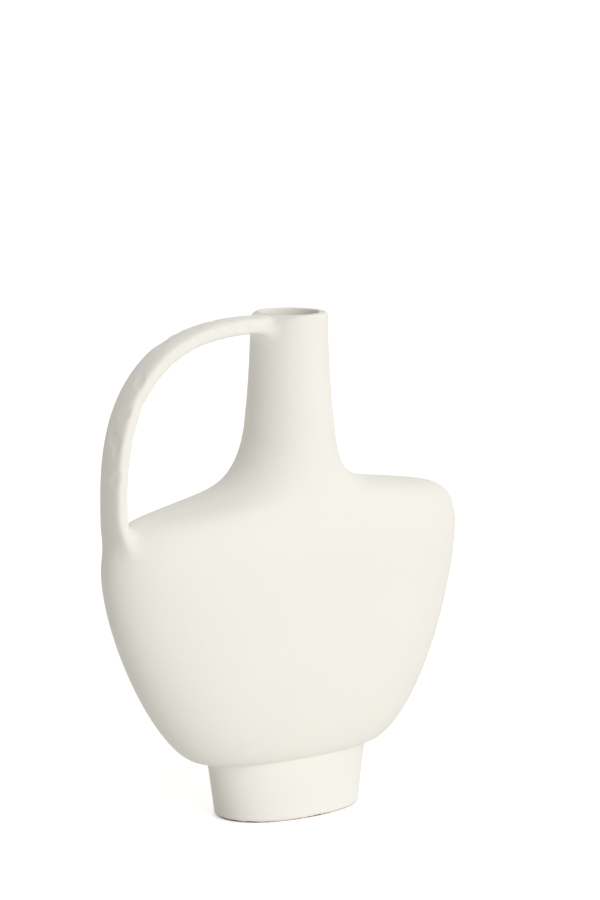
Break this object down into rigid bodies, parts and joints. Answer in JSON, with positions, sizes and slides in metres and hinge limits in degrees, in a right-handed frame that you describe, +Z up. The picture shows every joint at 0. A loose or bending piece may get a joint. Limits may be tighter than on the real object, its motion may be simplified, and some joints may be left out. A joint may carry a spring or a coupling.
{
  "type": "ceramic vase",
  "caption": "Flat flask-shaped ceramic vase with a round neck, an oval foot and a strap handle from the lip to the shoulder.",
  "frame": {"origin": "middle of the foot's flat underside, on the surface that the vase stands on", "axes": "+Z up, +X along the body's width away from the handle, +Y to the back through the body's thin depth"},
  "size_m": [0.26, 0.0818, 0.3],
  "materials": {
    "white_slip": "matte off-white slip",
    "bare_clay": "unglazed terracotta"
  },
  "bodies": {
    "root": {"base_slab": "bare_clay", "foot_ring": "white_slip", "front_shell": "white_slip", "back_shell": "white_slip", "front_shoulder": "white_slip", "back_shoulder": "white_slip", "neck": "white_slip", "handle": "white_slip"}
  },
  "joints": []
}
